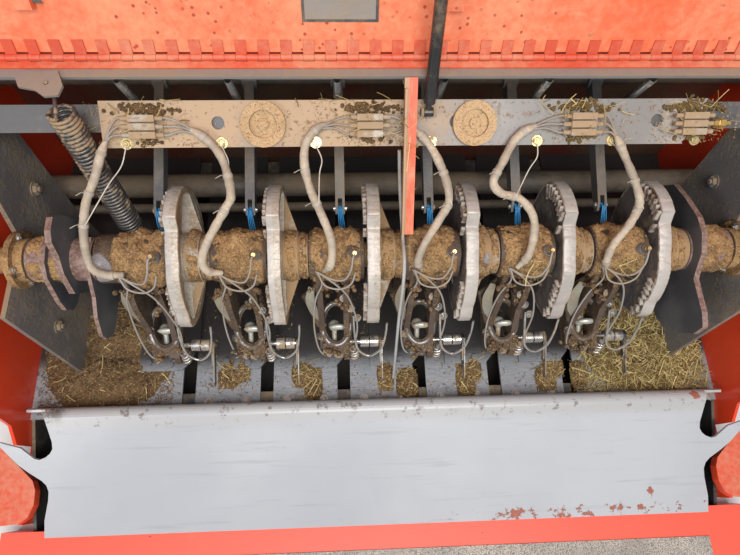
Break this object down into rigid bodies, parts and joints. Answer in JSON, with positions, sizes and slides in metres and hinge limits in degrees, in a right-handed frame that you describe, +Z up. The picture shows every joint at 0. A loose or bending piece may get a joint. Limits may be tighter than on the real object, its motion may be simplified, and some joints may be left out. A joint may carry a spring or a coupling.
{
  "type": "square baler knotter bay",
  "caption": "Open twine knotter bay of a large square baler: knotters with cam discs on one shaft, twine arms, grease lines, slotted deck, sloping rear plate, step and lifted hood.",
  "frame": {"origin": "centre of the four frame bolt holes on the base plane, straight below the knotter shaft", "axes": "+X to the right seen from the rear, along the knotter shaft; +Y forward; +Z up"},
  "size_m": [1.92, 1.292, 1.5907],
  "materials": {
    "dark_paint": "satin, dusty",
    "plate_grey": "satin, dusty",
    "rail_grey": "satin, dusty",
    "red_paint": "gloss, worn",
    "hood_red": "gloss, dusty",
    "grit": "gritty",
    "dusty_iron": "caked with dust",
    "cast_disc": "dusty casting, rubbed bright at the rim",
    "bright_steel": "rubbed bright",
    "zinc": "zinc, dusty",
    "hose_grey": "matt sleeve",
    "dust_cover": "dusty",
    "spring_steel": "dusty",
    "black_tube": "gloss",
    "chrome_rod": "polished"
  },
  "bodies": {
    "frame": {"base_sills": "dark_paint", "base_tray": "dark_paint", "cross_beams": "dark_paint", "deck_strips": "plate_grey", "rear_plate": "plate_grey", "step": "red_paint", "step_grip": "grit", "side_wall_left": "red_paint", "side_wall_right": "red_paint", "side_covers": "red_paint", "front_panel": "red_paint", "roof_panel": "red_paint", "side_plate_left": "dark_paint", "side_plate_right": "dark_paint", "crossbeam": "dark_paint", "carrier_plate": "plate_grey", "top_bar": "rail_grey", "hinge_leaf_fixed": "red_paint", "shaft_bearings": "dusty_iron", "base_plates": "plate_grey", "knotter_frames": "dusty_iron", "twine_rollers": "bright_steel", "bill_hooks": "bright_steel", "stripper_springs": "bright_steel", "twine_fingers": "dusty_iron", "grease_blocks": "zinc", "hose_bundles": "hose_grey", "cover_caps": "dust_cover", "large_spring": "spring_steel", "spring_bracket": "rail_grey", "strut_bracket": "rail_grey", "red_lever": "red_paint", "cross_pipes": "dark_paint", "arm_shaft": "dark_paint", "arm_spring_1": "spring_steel", "arm_spring_2": "spring_steel", "arm_spring_3": "spring_steel", "arm_spring_4": "spring_steel", "arm_spring_5": "spring_steel", "arm_spring_6": "spring_steel"},
    "knotter_shaft": {"knotter_shaft": "dusty_iron", "cam_discs": "cast_disc", "end_cams": "dark_paint"},
    "hood": {"hood_shell": "hood_red", "hood_ribs": "hood_red", "hinge_leaf_hood": "hood_red"},
    "strut_tube": {"strut_tube": "black_tube"},
    "strut_rod": {"strut_rod": "chrome_rod"},
    "twine_arm_1": {"twine_arm_1": "dark_paint"},
    "twine_arm_2": {"twine_arm_2": "dark_paint"},
    "twine_arm_3": {"twine_arm_3": "dark_paint"},
    "twine_arm_4": {"twine_arm_4": "dark_paint"},
    "twine_arm_5": {"twine_arm_5": "dark_paint"},
    "twine_arm_6": {"twine_arm_6": "dark_paint"}
  },
  "joints": [
    {"name": "knotter_shaft_turn", "type": "hinge", "parent": "frame", "child": "knotter_shaft", "pos_m": [0, 0, 0.525], "axis": [1, 0, 0], "continuous": true},
    {"name": "hood_swing", "type": "hinge", "parent": "frame", "child": "hood", "pos_m": [0, 0.265, 0.818], "axis": [1, 0, 0], "range_deg": [0, 115]},
    {"name": "strut_swing", "type": "hinge", "parent": "frame", "child": "strut_tube", "pos_m": [0.07, 0.191, 0.757], "axis": [1, 0, 0], "range_deg": [-1, 113]},
    {"name": "strut_slide", "type": "slide", "parent": "strut_tube", "child": "strut_rod", "axis": [0, 0.3615, 0.9324], "range_m": [-0.166, 0.001]},
    {"name": "twine_arm_1_swing", "type": "hinge", "parent": "frame", "child": "twine_arm_1", "pos_m": [-0.5, 0.415, 0.578], "axis": [1, 0, 0], "range_deg": [-6, 12], "stiffness_Nm_per_rad": 60, "springref_deg": -1.72, "deforming": ["arm_spring_1"]},
    {"name": "twine_arm_2_swing", "type": "hinge", "parent": "frame", "child": "twine_arm_2", "pos_m": [-0.3, 0.415, 0.578], "axis": [1, 0, 0], "range_deg": [-6, 12], "stiffness_Nm_per_rad": 60, "springref_deg": -1.72, "deforming": ["arm_spring_2"]},
    {"name": "twine_arm_3_swing", "type": "hinge", "parent": "frame", "child": "twine_arm_3", "pos_m": [-0.1, 0.415, 0.578], "axis": [1, 0, 0], "range_deg": [-6, 12], "stiffness_Nm_per_rad": 60, "springref_deg": -1.72, "deforming": ["arm_spring_3"]},
    {"name": "twine_arm_4_swing", "type": "hinge", "parent": "frame", "child": "twine_arm_4", "pos_m": [0.1, 0.415, 0.578], "axis": [1, 0, 0], "range_deg": [-6, 12], "stiffness_Nm_per_rad": 60, "springref_deg": -1.72, "deforming": ["arm_spring_4"]},
    {"name": "twine_arm_5_swing", "type": "hinge", "parent": "frame", "child": "twine_arm_5", "pos_m": [0.3, 0.415, 0.578], "axis": [1, 0, 0], "range_deg": [-6, 12], "stiffness_Nm_per_rad": 60, "springref_deg": -1.72, "deforming": ["arm_spring_5"]},
    {"name": "twine_arm_6_swing", "type": "hinge", "parent": "frame", "child": "twine_arm_6", "pos_m": [0.5, 0.415, 0.578], "axis": [1, 0, 0], "range_deg": [-6, 12], "stiffness_Nm_per_rad": 60, "springref_deg": -1.72, "deforming": ["arm_spring_6"]}
  ],
  "couplings": [
    {"joint": "strut_swing", "follows": "hood_swing", "ratio": 0.9813},
    {"joint": "strut_slide", "follows": "hood_swing", "m_per_rad": -0.08039}
  ]
}
